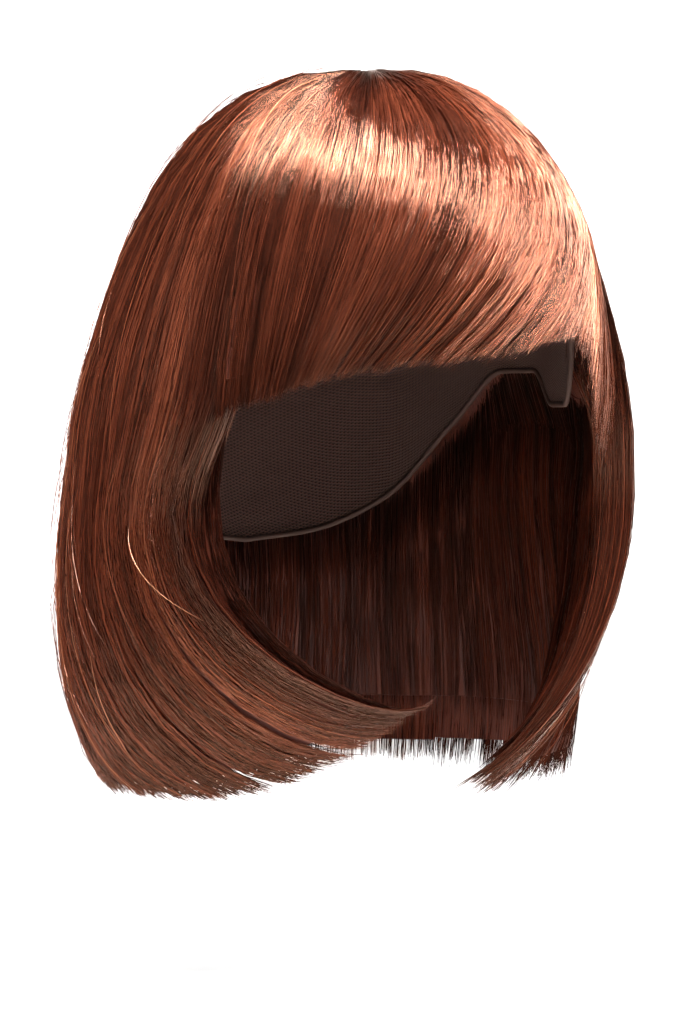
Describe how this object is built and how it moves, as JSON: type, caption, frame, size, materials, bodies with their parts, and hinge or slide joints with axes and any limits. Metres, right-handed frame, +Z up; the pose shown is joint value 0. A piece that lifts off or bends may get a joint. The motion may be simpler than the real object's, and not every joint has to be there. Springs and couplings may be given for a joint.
{
  "type": "mid-length wig",
  "caption": "Chin-length bob wig with a side-swept fringe and tips that curl under, on a thin open cap that fits over an adult head.",
  "frame": {"origin": "inside of the cap's crown, where the top of the head bears", "axes": "+X towards the wearer's left, -Y the way the face looks, +Z up"},
  "size_m": [0.2179, 0.23, 0.2708],
  "materials": {
    "hair": "glossy synthetic hair fibre, copper auburn, with a bright band where it turns over the crown",
    "light_hair": "the same fibre in a lighter copper, glossy",
    "inner_hair": "the same fibre, darker and in shade, satin",
    "cap": "fine knitted stretch net, dark brown, matte"
  },
  "bodies": {
    "root": {"cap": "cap", "fringe": "hair", "temple_lock": "light_hair", "left_curtain": "hair", "back_hair": "hair", "right_curtain": "hair", "under_hair": "inner_hair"}
  },
  "joints": []
}
